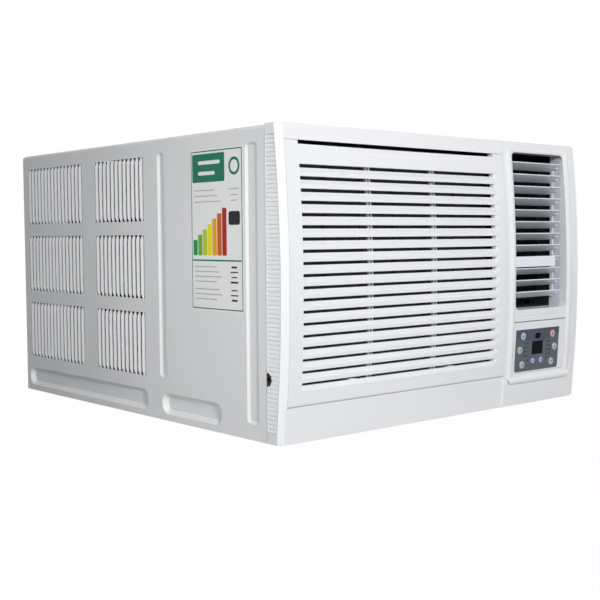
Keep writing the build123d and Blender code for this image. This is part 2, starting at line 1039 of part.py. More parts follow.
def outlet_blade(k):
    left = outlet_left + blade_side_gap
    right = outlet_right - blade_link_room
    z = blade_height(k)
    outline = Plane.YZ.offset(left) * SlotOverall(blade_chord, blade_thickness)
    blade = Rot(-blade_tilt, 0, 0) * extrude(outline, amount=right - left, dir=(1, 0, 0))
    blade = Pos(0, -blade_axis, z) * blade
    blade += rod_x(outlet_left - pivot_reach, left + pivot_radius, -blade_axis, z, pivot_radius)
    blade += rod_x(right - pivot_radius, outlet_right + pivot_reach, -blade_axis, z, pivot_radius)
    y, crank_z = crank_spot(k)
    blade += rod_x(right - crank_radius, outlet_right - link_wall_gap, y, crank_z, crank_radius)
    if k == handle_index:
        blade += handle_plate(left, z)
    return blade


def handle_plate(left, z):
    # Upright finger plate that hangs from the front edge of one blade
    turn = math.radians(blade_tilt)
    front = -blade_axis - blade_chord / 2 * math.cos(turn)
    top = z + blade_chord / 2 * math.sin(turn)
    right = outlet_right - handle_short
    return block(left, right, front - handle_thickness, front + crank_radius, top - handle_height, top)


def blade_link():
    x1 = outlet_right - link_wall_gap
    y, top = crank_spot(0)
    low = crank_spot(blade_count - 1)[1]
    end = link_width / 2
    bar = block(x1 - link_thickness, x1, y - end, y + end, low - end, top + end)
    for k in range(blade_count):
        z = crank_spot(k)[1]
        bar -= rod_x(x1 - 2 * link_thickness, x1 + link_thickness, y, z, crank_radius + pin_clearance)
    return bar


def air_vane(k):
    x = vane_x(k)
    low = outlet_bottom + vane_bottom_gap
    high = outlet_top - vane_top_gap
    plate = block(
        x - vane_thickness / 2,
        x + vane_thickness / 2,
        vane_axis - vane_chord / 2,
        vane_axis + vane_chord / 2,
        low,
        high,
    )
    bottom = outlet_bottom - pivot_reach
    if k == vane_count - 1:
        bottom = outlet_bottom - swing_pin_reach
    plate += rod_z(bottom, low + pivot_radius, x, vane_axis, pivot_radius)
    plate += rod_z(high - pivot_radius, outlet_top + pivot_reach, x, vane_axis, pivot_radius)
    pin_low = outlet_bottom + vane_link_rise
    plate += rod_z(pin_low, low + crank_radius, x, vane_axis - crank_arm, crank_radius)
    return plate


def vane_link():
    low = outlet_bottom + vane_link_rise
    end = link_width / 2
    y = vane_axis - crank_arm
    high = low + vane_link_thickness
    bar = block(vane_x(0) - end, vane_x(vane_count - 1) + end, y - end, y + end, low, high)
    for k in range(vane_count):
        bar -= rod_z(low, high, vane_x(k), y, crank_radius + pin_clearance)
    return bar


def swing_motor():
    top = outlet_bottom - duct_wall
    x = vane_x(vane_count - 1)
    body = rod_z(top - swing_motor_height, top, x, vane_axis, swing_motor_radius)
    return body - rod_z(top - swing_pin_reach, top, x, vane_axis, pivot_radius + pin_clearance)


# Controls


def control_panel():
    x0 = control_left + control_fit - control_plane.origin.X
    x1 = control_right - control_fit - control_plane.origin.X
    middle = overlay_drop
    side = (control_high - control_low) / 2 - control_fit
    top = middle + side - control_top_gap
    plate = slab(x0, x1, middle - side, top, -control_thickness, 0)
    post = Cylinder(post_radius, -control_thickness - board_face)
    for x, y, radius in button_spots.values():
        plate -= on_controls(Pos(x, y, 0) * Cylinder(radius + button_gap, 2 * control_thickness))
    for x, y in post_spots():
        plate += on_controls(Pos(x, y, (board_face - control_thickness) / 2) * post)
    return plate - display_pocket(window_fit)


def post_spots():
    w = board_half_width - post_inset
    h = board_half_height - post_inset
    return [(x, y) for x in (-w, w) for y in (-h, h)]


def display_pocket(room):
    # Hollow for the display and the receiver windows
    depth = control_thickness / 2
    w = display_width / 2 + room
    h = display_height / 2 + room
    cut = slab(-w, w, display_rise - h, display_rise + h, -depth, control_thickness)
    oval = SlotOverall(receiver_width + 2 * room, receiver_height + 2 * room)
    oval = extrude(Pos(0, receiver_rise, -depth) * oval, amount=depth + control_thickness)
    return cut + on_controls(oval)


def control_overlay():
    outline = RectangleRounded(overlay_width, overlay_height, overlay_corner)
    square = Pos(0, overlay_height / 4) * Rectangle(overlay_width, overlay_height / 2)
    film = on_controls(extrude(outline + square, amount=overlay_thickness))
    for x, y, radius in button_spots.values():
        film -= on_controls(Pos(x, y, 0) * Cylinder(radius + button_gap, 4 * overlay_thickness))
    return film - display_pocket(window_fit)


def display_windows():
    depth = control_thickness / 2
    top = overlay_thickness + window_proud
    w = display_width / 2
    h = display_height / 2
    pane = slab(-w, w, display_rise - h, display_rise + h, -depth, top)
    oval = Pos(0, receiver_rise, -depth) * SlotOverall(receiver_width, receiver_height)
    return group([pane, on_controls(extrude(oval, amount=depth + top))])


def button(x, y, radius):
    top = overlay_thickness + button_proud
    low = flange_back
    cap = Pos(x, y, (top + low) / 2) * Cylinder(radius, top - low)
    cap = fillet(cap.edges().sort_by(Axis.Z)[-1], button_round)
    flange = Pos(x, y, low + button_flange_thickness / 2)
    flange *= Cylinder(radius + button_flange, button_flange_thickness)
    return on_controls(cap + flange)


def control_board():
    w = board_half_width
    h = board_half_height
    board = block(-w, w, -h, h, board_face - board_thickness, board_face)
    side = switch_size / 2
    for x, y, radius in button_spots.values():
        board += block(x - side, x + side, y - side, y + side, board_face, switch_top)
    return on_controls(board)


def control_box():
    right = half - box_right_gap
    top = control_high - box_top_gap
    back = box_front + box_depth
    shell = block(box_left, right, box_front, back, pan_top, top)
    t = box_sheet
    return shell - block(box_left + t, right - t, box_front, back - t, pan_top + t, top - t)


def run_capacitor():
    x = half - box_right_gap - 2 * capacitor_radius
    y = box_front + box_depth / 2
    low = pan_top + box_sheet
    return rod_z(low, low + capacitor_height, x, y, capacitor_radius)


# Cabinet


def louvre_strip(y, low, mirror):
    # One pressed strip: flat at its ends, with its rear edge out and its front edge in between
    y0 = y + louvre_gap / 2
    y1 = y + louvre_pitch - louvre_gap / 2
    high = low + louvre_height

    def section(z, press, share):
        rear = -half - louvre_out * press
        front = -half + louvre_in * press
        edge = y0 + (y1 - y0) * share
        points = [(front, y0), (rear, edge), (rear + sheet, edge), (front + sheet, y0)]
        points = [(mirror * px, py) for px, py in points]
        return Plane.XY.offset(z) * Polygon(*points, align=None)

    # Height from the end of the strip, how far it is pressed there and the share of its width
    half_way = (1 + louvre_end_share) / 2
    steps = [(0, 0, louvre_end_share), (louvre_ramp / 2, half_way, half_way), (louvre_ramp, 1, 1)]
    sections = [section(low + rise, press, share) for rise, press, share in steps]
    sections += [section(high - rise, press, share) for rise, press, share in reversed(steps)]
    return loft(sections, ruled=True)


def louvre_fields():
    return [(rear_field_start, rear_field_strips), (front_field_start, front_field_strips)]


def pressed(y0, y1, low, high, depth, slope, corner, mirror):
    # The outside and the sheet behind it of a pressing with sloped walls and rounded corners
    def taper(room, reach_in):
        def outline(margin, inward):
            rounded = RectangleRounded(
                y1 - y0 - 2 * margin, high - low - 2 * margin, corner - margin
            )
            plane = Plane.YZ.offset(mirror * (-half + inward))
            return plane * Pos((y0 + y1) / 2, (low + high) / 2) * rounded

        return loft([outline(-room, 0), outline(slope - room, reach_in)], ruled=True)

    return taper(0, depth), taper(sheet, depth + sheet)


def side_panel(mirror):
    # mirror is 1 for the left side and -1 for the right
    def m(x0, x1, y0, y1, z0, z1):
        a, b = sorted((mirror * x0, mirror * x1))
        return block(a, b, y0, y1, z0, z1)

    panel = m(-half, -half + sheet, 0, cab_depth, foot_drop, flange_top - bend_radius)
    panel += m(
        -half + bend_radius, -half + flange_width, 0, cab_depth, flange_top - sheet, flange_top
    )
    bend = rod_y(0, cab_depth, mirror * (-half + bend_radius), flange_top - bend_radius, bend_radius)
    bend -= rod_y(
        0, cab_depth, mirror * (-half + bend_radius), flange_top - bend_radius, bend_radius - sheet
    )
    panel += bend & m(
        -half, -half + bend_radius, 0, cab_depth, flange_top - bend_radius, flange_top
    )
    bend_start = flange_top - bend_radius
    rear = cab_depth - sheet
    panel += m(-half, -half + flange_width, rear, cab_depth, pan_floor + pan_rim, bend_start)
    panel += m(-half, -half + flange_width, 0, cab_depth, foot_drop, foot_drop + sheet)
    strips = []
    for start, count in louvre_fields():
        for row in range(louvre_rows):
            low = louvre_low + row * louvre_row_pitch
            end = start + count * louvre_pitch
            panel -= m(-half - cut_over, -half + 2 * sheet, start, end, low, low + louvre_height)
            strips += [louvre_strip(start + k * louvre_pitch, low, mirror) for k in range(count)]
    bead_high = cab_height - bead_top_drop
    recess_high = recess_low + recess_height
    bead = (bead_depth, bead_slope, bead_corner)
    recess = (recess_depth, recess_slope, recess_corner)
    forms = [
        (narrow_bead_start, narrow_bead_width, narrow_bead_low, bead_high, *bead),
        (wide_bead_start, wide_bead_width, wide_bead_low, bead_high, *bead),
        (long_recess_start, long_recess_length, recess_low, recess_high, *recess),
        (short_recess_start, short_recess_length, recess_low, recess_high, *recess),
    ]
    for y, width, low, high, depth, slope, corner in forms:
        cut, skin = pressed(y, y + width, low, high, depth, slope, corner, mirror)
        panel = panel + skin - cut
    hole = screw_radius + screw_clearance
    x = -mirror * screw_x
    for y in screw_rows():
        panel -= rod_z(flange_top - 2 * sheet, cab_height, x, y, hole)
        panel -= rod_z(0, foot_drop + 2 * sheet, x, y, hole)
    for z in rear_screws():
        panel -= rod_y(cab_depth - 2 * sheet, cab_depth + cut_over, x, z, hole)
    return panel.fuse(*strips)


def screw_rows():
    return [foot_inset_y, cab_depth / 2, cab_depth - foot_inset_y]


def rear_screws():
    return [guard_screw_inset, cab_height - guard_screw_inset]


def top_panel():
    x = half - bend_radius - sheet
    panel = block(-x, x, 0, cab_depth, flange_top, top_surface)
    for y in screw_rows():
        for side in (-1, 1):
            panel -= rod_z(flange_top, cab_height, side * screw_x, y, screw_radius + screw_clearance)
    return panel


def cabinet_screws():
    # Top screws into the flanges, bottom screws into the base pan, rear screws into the guard
    screws = []
    for side in (-1, 1):
        x = side * screw_x
        for y in screw_rows():
            screws.append(
                rod_z(top_surface, cab_height, x, y, screw_head_radius)
                + rod_z(top_surface - screw_length, top_surface, x, y, screw_radius)
            )
            screws.append(
                rod_z(foot_drop - screw_head_height, foot_drop, x, y, screw_head_radius)
                + rod_z(foot_drop, foot_drop + screw_length, x, y, screw_radius)
            )
        for z in rear_screws():
            screws.append(
                rod_y(cab_depth, cab_depth + screw_head_height, x, z, screw_head_radius)
                + rod_y(cab_depth - screw_length, cab_depth, x, z, screw_radius)
            )
    return group(screws)


def base_pan():
    x = pan_half
    y0 = sheet_gap
    y1 = cab_depth - sheet - sheet_gap
    rim = pan_floor + pan_rim
    pan = block(-x, x, y0, y1, pan_floor, rim)
    pan -= block(-pan_inside, pan_inside, y0 + pan_sheet, y1 - pan_sheet, pan_top, rim)
    for fx, fy in foot_spots():
        pan += block(
            fx - foot_width / 2,
            fx + foot_width / 2,
            fy - foot_length / 2,
            fy + foot_length / 2,
            0,
            pan_floor + pan_sheet / 2,
        )
        pan -= rod_z(-pan_floor, 3 * pan_floor, fx, fy, base_hole_radius)
    drain_x = half - drain_offset
    pan += rod_y(y1 - pan_sheet / 2, rear_reach, drain_x, drain_height, drain_outer)
    pan -= rod_y(y1 - 2 * pan_sheet, rear_reach, drain_x, drain_height, drain_bore)
    for y in screw_rows():
        for side in (-1, 1):
            pan -= rod_z(pan_floor, pan_top, side * screw_x, y, screw_radius + screw_clearance)
    return pan


def foot_spots():
    x = half - foot_inset_x
    return [(sx * x, y) for sx in (-1, 1) for y in (foot_inset_y, cab_depth - foot_inset_y)]


def rear_guard():
    back = cab_depth - sheet
    x = half - sheet - sheet_gap
    low = pan_floor + pan_rim + foot_drop
    high = flange_top - bend_radius - sheet_gap
    plate = block(-x, x, back - sheet, back, low, high)
    for side in (-1, 1):
        for z in rear_screws():
            plate -= rod_y(back - sheet, back, side * screw_x, z, screw_radius + screw_clearance)
    step = guard_slot_width + guard_slot_gap
    count = int((2 * x - 2 * guard_border + guard_slot_gap) / step)
    first = -(count * step - guard_slot_gap) / 2
    row = (high - low - guard_border) / guard_rows
    for i in range(count):
        for j in range(guard_rows):
            z = low + guard_border + j * row
            x0 = first + i * step
            plate -= block(x0, x0 + guard_slot_width, back - sheet, back, z, z + row - guard_border)
    return plate


# Cold side


def coil(x0, x1, y0, y1, low, high):
    # Finned block: upright fins with grooves between them on both faces
    points = []
    count = int((x1 - x0) / fin_pitch)
    pitch = (x1 - x0) / count
    land = pitch - fin_gap
    floor = (y0 + y1 - coil_web) / 2
    for k in range(count):
        x = x0 + k * pitch
        points += [(x, y0), (x + land, y0)]
        if k < count - 1:
            points += [(x + land, floor), (x + pitch, floor)]
    mirrored = [(px, y0 + y1 - py) for px, py in reversed(points)]
    return prism_z(points + mirrored, low, high)


evaporator_left = -face_half + coil_margin
evaporator_right = part_x - coil_margin
evaporator_back = evaporator_front + evaporator_depth
evaporator_low = crease_height + coil_margin
evaporator_high = grille_top - coil_margin
guard_front = cab_depth - 2 * sheet
condenser_back = guard_front - guard_gap
condenser_front = condenser_back - condenser_depth
condenser_half = screw_x - screw_head_radius
condenser_high = flange_top - coil_margin
shroud_back = condenser_front - shroud_gap
motor_front = scroll_back + pan_sheet + motor_gap
accumulator_x = compressor_x + accumulator_dx
accumulator_y = compressor_y + accumulator_dy


def evaporator():
    return coil(
        evaporator_left,
        evaporator_right,
        evaporator_front,
        evaporator_back,
        evaporator_low,
        evaporator_high,
    )


def scroll_outline(room):
    # Outline of the scroll in x and z: a round end at the left and the air way to the right
    r = scroll_radius + room
    top = fan_z + r
    right = outlet_right + scroll_wall + room + duct_wall
    low = fan_z - r
    way_low = outlet_bottom - room
    turn_x = fan_x + scroll_turn
    way_x = outlet_left - scroll_wall
    return [
        ThreePointArc((fan_x, top), (fan_x - r, fan_z), (fan_x, low)),
        Line((fan_x, low), (turn_x, low)),
        Line((turn_x, low), (way_x, way_low)),
        Line((way_x, way_low), (right, way_low)),
        Line((right, way_low), (right, top)),
        Line((right, top), (fan_x, top)),
    ]


def scroll_solid(room, y0, y1):
    face = Plane.XZ.offset(-y0) * make_face(scroll_outline(room))
    return extrude(face, amount=y1 - y0, dir=(0, 1, 0))


def scroll_housing():
    front = inlet_front + inlet_thickness
    return scroll_solid(scroll_wall, front, scroll_back) - scroll_solid(0, front, scroll_back)


def inlet_plate():
    back = inlet_front + inlet_thickness
    plate = scroll_solid(scroll_wall, inlet_front, back)
    plate -= block(outlet_left - 2 * scroll_wall, half, 0, scroll_back, 0, cab_height)
    plate -= rod_y(inlet_front, back, fan_x, fan_z, inlet_radius)
    # The drip tray that carries the evaporator, on two legs
    low = evaporator_low - tray_thickness
    plate += block(evaporator_left, evaporator_right, evaporator_front, back, low, evaporator_low)
    for x in (evaporator_left, evaporator_right - tray_leg):
        plate += block(x, x + tray_leg, evaporator_front, evaporator_front + tray_leg, pan_top, low)
    return plate


def bulkhead():
    x = pan_inside - sheet_gap
    back = scroll_back + pan_sheet
    plate = block(-x, x, scroll_back, back, pan_top, flange_top - 2 * sheet)
    plate -= rod_y(scroll_back, back, fan_x, fan_z, hub_radius)
    plate -= rod_y(scroll_back, back, accumulator_x, suction_height, pipe_hole)
    return plate - rod_y(scroll_back, back, liquid_x, liquid_height, pipe_hole)


def blower_wheel():
    back = wheel_front + wheel_depth
    axis = Pos(fan_x, 0, fan_z)
    wheel = rod_y(back - wheel_plate, back, 0, 0, wheel_radius)
    ring = rod_y(wheel_front, wheel_front + wheel_plate, 0, 0, wheel_radius)
    wheel += ring - rod_y(wheel_front, wheel_front + wheel_plate, 0, 0, wheel_inner)
    wheel += rod_y(back - hub_depth, back, 0, 0, hub_radius)
    middle = (wheel_radius + wheel_inner) / 2
    width = wheel_radius - wheel_inner - wheel_plate
    blade = block(-width / 2, width / 2, wheel_front, back, -wheel_blade / 2, wheel_blade / 2)
    blades = []
    for k in range(wheel_blades):
        turn = Rot(0, k * 360 / wheel_blades, 0)
        blades.append(turn * Pos(middle, 0, 0) * Rot(0, blade_tilt, 0) * blade)
    wheel = wheel.fuse(*blades)
    return axis * (wheel - rod_y(wheel_front, back, 0, 0, shaft_radius))


def fan_shaft():
    return rod_y(wheel_front + wheel_depth - hub_depth, shroud_back, fan_x, fan_z, shaft_radius)


def fan_motor():
    back = motor_front + motor_length
    body = rod_y(motor_front, back, fan_x, fan_z, motor_radius)
    side = motor_plate_size / 2
    plate_front = scroll_back + pan_sheet
    body += block(
        fan_x - side, fan_x + side, plate_front, plate_front + motor_plate, fan_z - side, fan_z + side
    )
    for sx in (-1, 1):
        for sz in (-1, 1):
            x = fan_x + sx * motor_radius / 2
            z = fan_z + sz * motor_radius / 2
            body += rod_y(plate_front, motor_front + motor_gap, x, z, pipe_radius)
    return body - rod_y(plate_front, back, fan_x, fan_z, shaft_radius + shaft_clearance)


# Hot side


def condenser():
    return coil(
        -condenser_half, condenser_half, condenser_front, condenser_back, pan_top, condenser_high
    )


def fan_shroud():
    plate = block(
        -condenser_half, condenser_half, shroud_back, condenser_front, pan_top, condenser_high
    )
    t = pan_sheet
    plate -= block(
        -condenser_half + t,
        condenser_half - t,
        shroud_back + t,
        condenser_front,
        pan_top + t,
        condenser_high - t,
    )
    start = shroud_back - shroud_ring_depth
    plate += rod_y(start, shroud_back + t, fan_x, fan_z, shroud_hole + shroud_ring)
    plate -= rod_y(start, shroud_back + t, fan_x, fan_z, shroud_hole)
    for x, z in ((compressor_x, discharge_height), (liquid_x, liquid_height)):
        plate -= rod_y(shroud_back, shroud_back + t, x, z, pipe_hole)
    return plate


def condenser_fan():
    front = shroud_back - fan_hub_depth
    hub = rod_y(front, shroud_back, 0, 0, fan_hub)
    ring_front = shroud_back - fan_hub_depth / 2 - slinger_depth / 2
    ring = rod_y(ring_front, ring_front + slinger_depth, 0, 0, fan_radius)
    ring -= rod_y(ring_front, ring_front + slinger_depth, 0, 0, fan_radius - slinger_thickness)
    middle = shroud_back - fan_hub_depth / 2
    blade = block(
        fan_hub / 2,
        fan_radius - slinger_thickness / 2,
        -fan_blade_thickness / 2,
        fan_blade_thickness / 2,
        -fan_blade_chord / 2,
        fan_blade_chord / 2,
    )
    limit = rod_y(front, shroud_back, 0, 0, fan_radius - slinger_thickness / 2)
    blades = []
    for k in range(fan_blades):
        turn = Pos(0, middle, 0) * Rot(0, k * 360 / fan_blades, 0) * Rot(fan_blade_pitch, 0, 0)
        blades.append((turn * blade) & limit)
    fan = hub.fuse(ring, *blades) - rod_y(front, shroud_back, 0, 0, shaft_radius)
    return Pos(fan_x, 0, fan_z) * fan


def compressor():
    height = compressor_top - compressor_low
    body = Cylinder(compressor_radius, height)
    body = fillet(body.edges().filter_by(GeomType.CIRCLE).group_by(Axis.Z)[-1], compressor_round)
    body = Pos(compressor_x, compressor_y, compressor_low + height / 2) * body
    plate_top = compressor_low + compressor_plate
    body += rod_z(compressor_low, plate_top, compressor_x, compressor_y, compressor_plate_radius)
    bottle = rod_z(
        accumulator_low, accumulator_top, accumulator_x, accumulator_y, accumulator_radius
    )
    strap_z = (accumulator_low + accumulator_top) / 2
    distance = math.hypot(accumulator_dx, accumulator_dy)
    turn = math.degrees(math.atan2(accumulator_dy, accumulator_dx))
    side = accumulator_radius / 2
    strap = block(0, distance, -side, side, strap_z, strap_z + side)
    return body + bottle + Pos(compressor_x, compressor_y, 0) * Rot(0, 0, turn) * strap


def compressor_grommets():
    pads = []
    for k in range(3):
        turn = math.radians(90 + 120 * k)
        x = compressor_x + grommet_circle * math.cos(turn)
        y = compressor_y + grommet_circle * math.sin(turn)
        pads.append(rod_z(pan_top, compressor_low, x, y, grommet_radius))
    return group(pads)


def pipe(*points):
    path = FilletPolyline(*points, radius=pipe_bend) if len(points) > 2 else Line(*points)
    start = Plane(origin=points[0], z_dir=path % 0)
    return sweep(start * Circle(pipe_radius), path=path)


def refrigerant_pipes():
    drop = compressor_y - accumulator_y + pipe_bend
    hot = pipe(
        (compressor_x, compressor_y, compressor_top),
        (compressor_x, compressor_y, discharge_height),
        (compressor_x, condenser_front, discharge_height),
    )
    turn_y = accumulator_y - drop
    over = accumulator_top + 2 * pipe_bend
    entry_y = (evaporator_front + evaporator_back) / 2
    cold = pipe(
        (accumulator_x, accumulator_y, accumulator_top),
        (accumulator_x, accumulator_y, over),
        (accumulator_x, turn_y, over),
        (accumulator_x, turn_y, suction_height),
        (accumulator_x, entry_y, suction_height),
        (evaporator_right, entry_y, suction_height),
    )
    liquid = pipe(
        (liquid_x, evaporator_back, liquid_height), (liquid_x, condenser_front, liquid_height)
    )
    return group([hot, cold, liquid])


put(base_pan(), "base_pan")
put(side_panel(1), "left_side_panel")
put(side_panel(-1), "right_side_panel")
put(top_panel(), "top_panel")
put(rear_guard(), "rear_guard")
put(cabinet_screws(), "cabinet_screws")
put(front_frame(), "front_frame")
put(rib_strips(), "rib_strips")
put(cord_grommet(), "cord_grommet")
put(intake_grille(), "intake_grille")
put(air_filter(), "air_filter")
put(outlet_duct(), "outlet_duct")
for k in range(blade_count):
    name = "outlet_handle_blade" if k == handle_index else "outlet_blade_%02d" % (k + 1)
    put(outlet_blade(k), name)
put(blade_link(), "blade_link")
for k in range(vane_count):
    put(air_vane(k), "air_vane_%d" % (k + 1))
put(vane_link(), "vane_link")
put(swing_motor(), "swing_motor")
put(control_panel(), "control_panel")
put(control_overlay(), "control_overlay")
put(display_windows(), "display_windows")
for name, (x, y, radius) in button_spots.items():
    put(button(x, y, radius), name)
put(control_board(), "control_board")
put(control_box(), "control_box")
put(run_capacitor(), "run_capacitor")
put(evaporator(), "evaporator")
put(scroll_housing(), "scroll_housing")
put(inlet_plate(), "inlet_plate")
put(bulkhead(), "bulkhead")
put(blower_wheel(), "blower_wheel")
put(fan_shaft(), "fan_shaft")
put(fan_motor(), "fan_motor")
put(condenser_fan(), "condenser_fan")
put(fan_shroud(), "fan_shroud")
put(condenser(), "condenser")
put(compressor(), "compressor")
put(compressor_grommets(), "compressor_grommets")
put(refrigerant_pipes(), "refrigerant_pipes")
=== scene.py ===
import math

import bmesh
import bpy
from mathutils import Matrix, Vector


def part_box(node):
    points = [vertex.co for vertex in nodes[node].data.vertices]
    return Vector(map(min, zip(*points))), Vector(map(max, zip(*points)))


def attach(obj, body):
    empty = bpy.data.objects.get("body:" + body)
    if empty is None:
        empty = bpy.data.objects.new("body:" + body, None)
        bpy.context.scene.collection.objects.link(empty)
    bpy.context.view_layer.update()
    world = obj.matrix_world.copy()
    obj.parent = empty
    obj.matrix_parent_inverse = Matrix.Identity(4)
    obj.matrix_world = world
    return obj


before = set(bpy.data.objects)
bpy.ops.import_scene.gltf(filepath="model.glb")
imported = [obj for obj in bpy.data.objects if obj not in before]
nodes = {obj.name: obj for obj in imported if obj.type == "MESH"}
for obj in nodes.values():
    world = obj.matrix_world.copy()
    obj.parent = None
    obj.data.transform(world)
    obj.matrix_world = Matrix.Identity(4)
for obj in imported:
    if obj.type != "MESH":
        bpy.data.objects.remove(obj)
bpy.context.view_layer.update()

scene = bpy.context.scene
print("frame loaded:", len(nodes), "nodes")


# node helpers shared by the finishes

noiseBand = {"color": (0.35, 0.65), "gloss": (0.3, 0.7), "glossDetail": 3.0}


def startFinish(name, color, roughness, metallic=0.0):
    mat = bpy.data.materials.new(name)
    mat.use_nodes = True
    tree = mat.node_tree
    shader = tree.nodes["Principled BSDF"]
    shader.inputs["Base Color"].default_value = (*color, 1)
    shader.inputs["Roughness"].default_value = roughness
    shader.inputs["Metallic"].default_value = metallic
    return mat, tree, shader


def addNode(tree, kind, values=None, **settings):
    node = tree.nodes.new(kind)
    for key, value in settings.items():
        setattr(node, key, value)
    for key, value in (values or {}).items():
        if isinstance(value, bpy.types.NodeSocket):
            tree.links.new(value, node.inputs[key])
        else:
            node.inputs[key].default_value = value
    return node


def objectCoords(tree, stretch=(1, 1, 1)):
    coords = addNode(tree, "ShaderNodeTexCoord").outputs["Object"]
    mapping = addNode(tree, "ShaderNodeMapping", {"Vector": coords, "Scale": stretch})
    return mapping.outputs["Vector"]


def axisOf(tree, axis):
    coords = addNode(tree, "ShaderNodeTexCoord").outputs["Object"]
    return addNode(tree, "ShaderNodeSeparateXYZ", {"Vector": coords}).outputs[axis]


def noiseOf(tree, scale, detail, stretch=(1, 1, 1)):
    values = {"Vector": objectCoords(tree, stretch), "Scale": scale, "Detail": detail}
    return addNode(tree, "ShaderNodeTexNoise", values).outputs["Fac"]


def mathOf(tree, operation, a, b=0.0):
    return addNode(tree, "ShaderNodeMath", {0: a, 1: b}, operation=operation).outputs[0]


def waveAlong(tree, axis, pitch):
    return mathOf(tree, "SINE", mathOf(tree, "MULTIPLY", axisOf(tree, axis), 2 * math.pi / pitch))


def spread(tree, factor, low, high, lowTo, highTo):
    values = {"Value": factor, "From Min": low, "From Max": high, "To Min": lowTo, "To Max": highTo}
    return addNode(tree, "ShaderNodeMapRange", values).outputs["Result"]


def mixColors(tree, factor, first, second):
    node = addNode(tree, "ShaderNodeMix", data_type="RGBA")
    for key, value in (("Factor", factor), ("A", first), ("B", second)):
        for socket in node.inputs:
            fits = socket.type == ("VALUE" if key == "Factor" else "RGBA")
            if socket.name == key and fits:
                if isinstance(value, bpy.types.NodeSocket):
                    tree.links.new(value, socket)
                else:
                    socket.default_value = value if key == "Factor" else (*value, 1)
    return next(s for s in node.outputs if s.type == "RGBA")


def bumpOn(tree, shader, height, distance):
    values = {"Height": height, "Distance": distance, "Strength": 1.0}
    bump = addNode(tree, "ShaderNodeBump", values)
    tree.links.new(bump.outputs["Normal"], shader.inputs["Normal"])


def colorOn(tree, shader, factor, first, second):
    tree.links.new(mixColors(tree, factor, first, second), shader.inputs["Base Color"])


def mottle(tree, shader, first, second, scale, detail=3.0, stretch=(1, 1, 1)):
    cloud = spread(tree, noiseOf(tree, scale, detail, stretch), *noiseBand["color"], 0.0, 1.0)
    colorOn(tree, shader, cloud, first, second)


def varyGloss(tree, shader, low, high, scale):
    noise = noiseOf(tree, scale, noiseBand["glossDetail"])
    tree.links.new(spread(tree, noise, *noiseBand["gloss"], low, high), shader.inputs["Roughness"])


# paints, plastics and inks: two close colours, uneven gloss and a fine grain

def speckled(name, look):
    mat, tree, shader = startFinish(name, look["color"], look["roughness"])
    mottle(tree, shader, look["color"], look["shade"], *look["cloud"])
    varyGloss(tree, shader, *look["gloss"], look["glossScale"])
    if "grain" in look:
        bumpOn(tree, shader, noiseOf(tree, *look["grain"]), look["grainHeight"])
    if "ior" in look:
        shader.inputs["IOR"].default_value = look["ior"]
    if "specular" in look:
        shader.inputs["Specular IOR Level"].default_value = look["specular"]
    return mat


sheetPaintLook = {
    "color": (0.83, 0.832, 0.836), "shade": (0.805, 0.808, 0.812), "cloud": (5.0,),
    "roughness": 0.4, "gloss": (0.42, 0.46), "glossScale": 9.0,
    "grain": (620.0, 2.0), "grainHeight": 0.00006, "specular": 0.3,
}
moulded = {
    "cloud": (4.0,), "roughness": 0.24, "glossScale": 14.0, "grain": (900.0, 1.0),
    "ior": 1.49, "specular": 0.5,
}
shellPlasticLook = {
    **moulded, "color": (0.87, 0.875, 0.885), "shade": (0.855, 0.86, 0.872),
    "gloss": (0.2, 0.27), "grainHeight": 0.00002,
}
ribPlasticLook = {
    **moulded, "color": (0.90, 0.905, 0.91), "shade": (0.88, 0.886, 0.892),
    "gloss": (0.34, 0.44), "grainHeight": 0.00004,
}
# the blue cast in this colour is painted cool shade of the outlet
bladePlasticLook = {
    **moulded, "color": (0.865, 0.89, 0.95), "shade": (0.85, 0.875, 0.935),
    "gloss": (0.28, 0.36), "grainHeight": 0.00003,
}
ductPlasticLook = {
    **moulded, "color": (0.70, 0.705, 0.72), "shade": (0.67, 0.675, 0.69),
    "gloss": (0.42, 0.52), "grainHeight": 0.00005,
}
darkPlasticLook = {
    **moulded, "color": (0.006, 0.0062, 0.007), "shade": (0.01, 0.0105, 0.012),
    "gloss": (0.5, 0.62), "grainHeight": 0.00008, "specular": 0.12,
}
displayLook = {
    "color": (0.004, 0.0042, 0.005), "shade": (0.009, 0.0095, 0.012), "cloud": (160.0,),
    "roughness": 0.12, "gloss": (0.1, 0.16), "glossScale": 40.0, "specular": 0.08,
}
capGrain = {
    "cloud": (420.0,), "roughness": 0.3, "gloss": (0.26, 0.36), "glossScale": 200.0,
    "grain": (2400.0, 1.0), "grainHeight": 0.00002,
}
silverCapLook = {**capGrain, "color": (0.50, 0.50, 0.52), "shade": (0.45, 0.45, 0.475)}
blueCapLook = {**capGrain, "color": (0.40, 0.46, 0.66), "shade": (0.46, 0.52, 0.70)}
pinkCapLook = {**capGrain, "color": (0.58, 0.36, 0.35), "shade": (0.63, 0.42, 0.41)}
castGrain = {"cloud": (24.0,), "glossScale": 40.0, "grain": (500.0, 4.0), "grainHeight": 0.00015}
motorPaintLook = {
    **castGrain, "color": (0.05, 0.052, 0.055), "shade": (0.075, 0.078, 0.082),
    "roughness": 0.45, "gloss": (0.37, 0.55),
}
compressorPaintLook = {
    **castGrain, "color": (0.008, 0.008, 0.009), "shade": (0.016, 0.016, 0.018),
    "roughness": 0.32, "gloss": (0.24, 0.42),
}
mountRubberLook = {
    **castGrain, "color": (0.012, 0.012, 0.012), "shade": (0.02, 0.02, 0.02),
    "roughness": 0.7, "gloss": (0.62, 0.8),
}


# lining of the outlet: pale plastic at the mouth with a blue cast of painted cool shade, and black
# painted shade from a set depth inward

liningLook = {
    "plastic": (0.71, 0.73, 0.78), "paintedShade": (0.006, 0.006, 0.0065), "roughness": 0.5,
    "start": 0.021, "edge": 0.0004, "gloss": (0.45, 0.9), "pore": (700.0, 3.0), "poreDepth": 0.0005,
}


